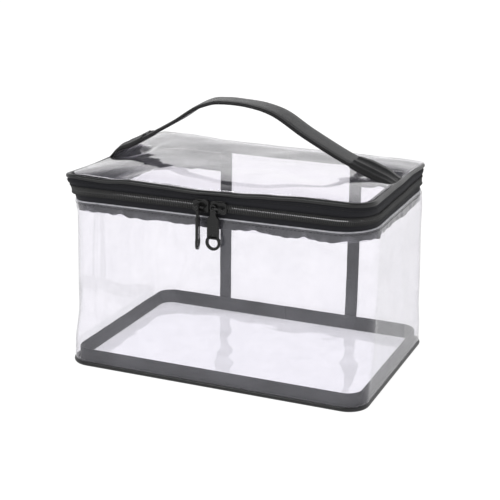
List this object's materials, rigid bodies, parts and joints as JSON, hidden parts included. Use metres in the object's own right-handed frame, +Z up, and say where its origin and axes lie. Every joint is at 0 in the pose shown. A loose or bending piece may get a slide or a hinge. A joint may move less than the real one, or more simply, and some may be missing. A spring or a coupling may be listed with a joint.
{
  "type": "makeup bag",
  "caption": "Clear zip-around makeup bag: see-through vinyl box body with a hinged lid, black piping, a two-slider zipper and a soft top handle.",
  "frame": {"origin": "middle of the base's underside, where the bag stands", "axes": "+X to the right along the front, +Y from front to back, +Z up"},
  "size_m": [0.2432, 0.1789, 0.2025],
  "materials": {
    "clear_vinyl": "gloss",
    "piping": "satin",
    "binding_tape": "satin",
    "zipper_tape": "matte",
    "zipper_coil": "satin",
    "strap": "satin",
    "slider_metal": "satin"
  },
  "bodies": {
    "bag_body": {"base_panel": "clear_vinyl", "base_piping": "piping", "base_seam_binding": "binding_tape", "wall_panel": "clear_vinyl", "back_panel": "clear_vinyl", "back_seam_binding_left": "binding_tape", "back_seam_binding_right": "binding_tape", "zipper_tape_lower": "zipper_tape", "zipper_coil_lower": "zipper_coil"},
    "lid": {"lid_panel": "clear_vinyl", "lid_piping": "piping", "lid_seam_binding": "binding_tape", "hinge_panel": "clear_vinyl", "hinge_seam_binding_left": "binding_tape", "hinge_seam_binding_right": "binding_tape", "zipper_tape_upper": "zipper_tape", "zipper_coil_upper": "zipper_coil", "handle_end_left": "strap", "handle_end_right": "strap", "handle_tab_left": "strap", "handle_tab_right": "strap"},
    "handle": {"handle_strap": "strap"},
    "slider_left": {"slider_left": "slider_metal"},
    "slider_right": {"slider_right": "slider_metal"},
    "pull_left": {"pull_left": "slider_metal"},
    "pull_right": {"pull_right": "slider_metal"}
  },
  "joints": [
    {"name": "lid_hinge", "type": "hinge", "parent": "bag_body", "child": "lid", "pos_m": [0, 0.0844, 0.141], "axis": [-1, 0, 0], "range_deg": [0, 115]},
    {"name": "slider_left_run", "type": "slide", "parent": "bag_body", "child": "slider_left", "axis": [-1, 0, 0], "range_m": [0, 0.076]},
    {"name": "slider_right_run", "type": "slide", "parent": "bag_body", "child": "slider_right", "axis": [1, 0, 0], "range_m": [0, 0.076]},
    {"name": "pull_left_swing", "type": "hinge", "parent": "slider_left", "child": "pull_left", "pos_m": [-0.0056, -0.089, 0.141], "axis": [-1, 0, 0], "range_deg": [0, 165]},
    {"name": "pull_right_swing", "type": "hinge", "parent": "slider_right", "child": "pull_right", "pos_m": [0.0056, -0.0869, 0.141], "axis": [0, -1, 0], "range_deg": [-8, 50]},
    {"name": "handle_sway", "type": "hinge", "parent": "lid", "child": "handle", "pos_m": [0, 0, 0.16903], "axis": [0.9987, 0, -0.0515], "range_deg": [-45, 45], "stiffness_Nm_per_rad": 0.03}
  ]
}
